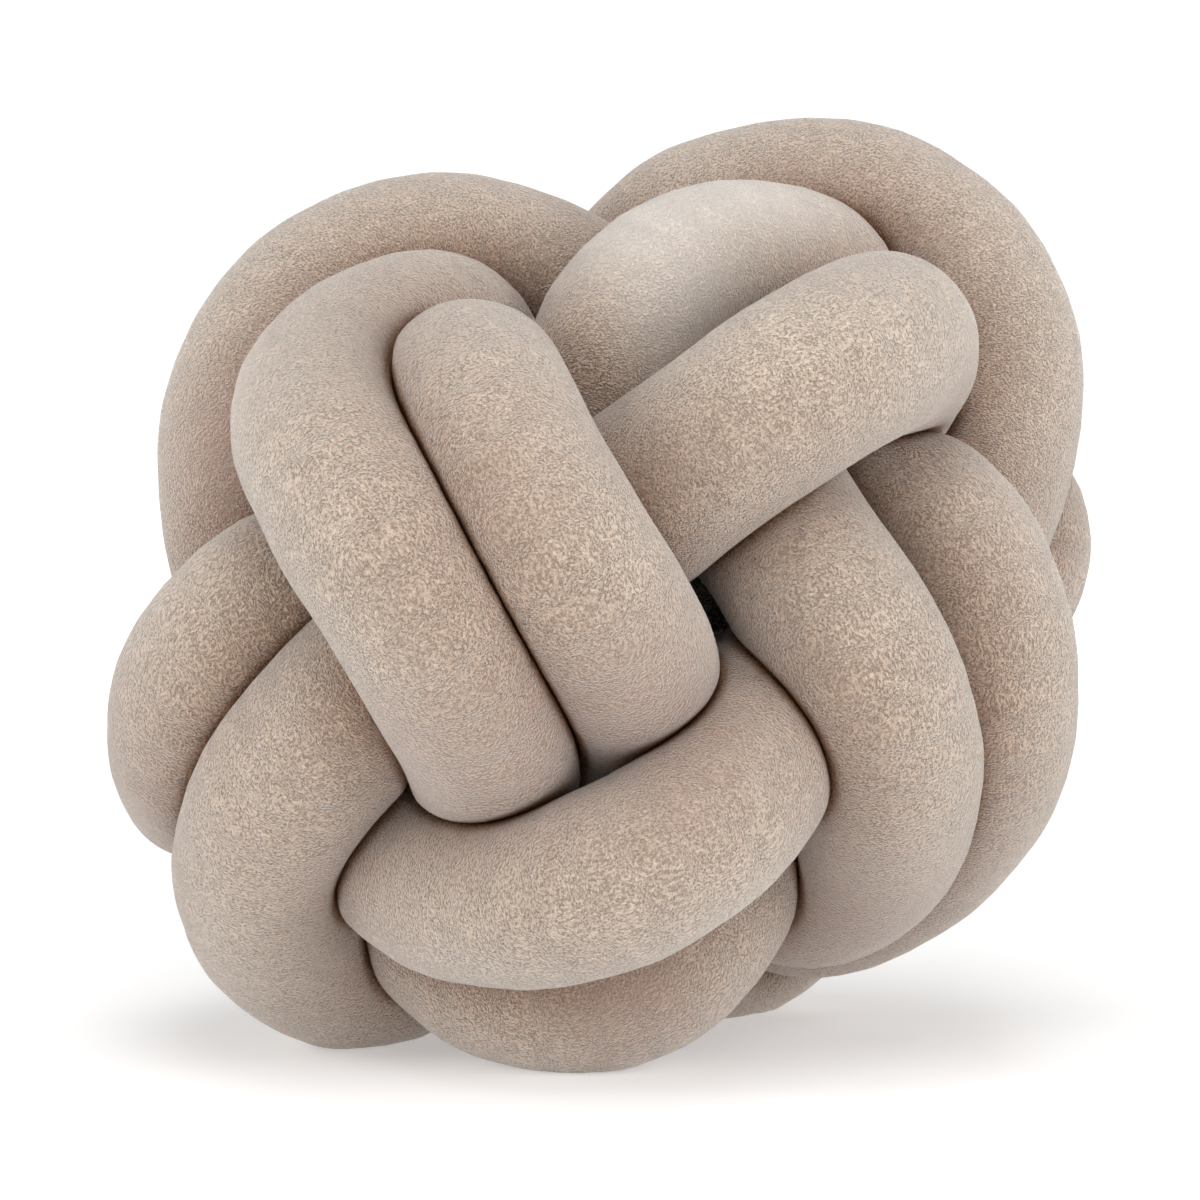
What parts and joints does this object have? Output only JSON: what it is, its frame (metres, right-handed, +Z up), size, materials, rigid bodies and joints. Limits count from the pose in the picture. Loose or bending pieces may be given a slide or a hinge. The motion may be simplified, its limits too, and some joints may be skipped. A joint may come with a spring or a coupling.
{
  "type": "knot cushion",
  "caption": "Ball-shaped scatter cushion plaited from a plump, stuffed plush tube laid double, for a sofa, chair or bed.",
  "frame": {"origin": "centre of the cushion's plan, on the surface that it rests on", "axes": "+Z up from the resting surface, -Y towards the viewer of the front, +X to the viewer's right"},
  "size_m": [0.3003, 0.2891, 0.2819],
  "materials": {
    "plush": "short, soft pile, matt with a pale sheen at grazing angles"
  },
  "bodies": {
    "root": {"inner_tube": "plush", "outer_tube": "plush"}
  },
  "joints": []
}
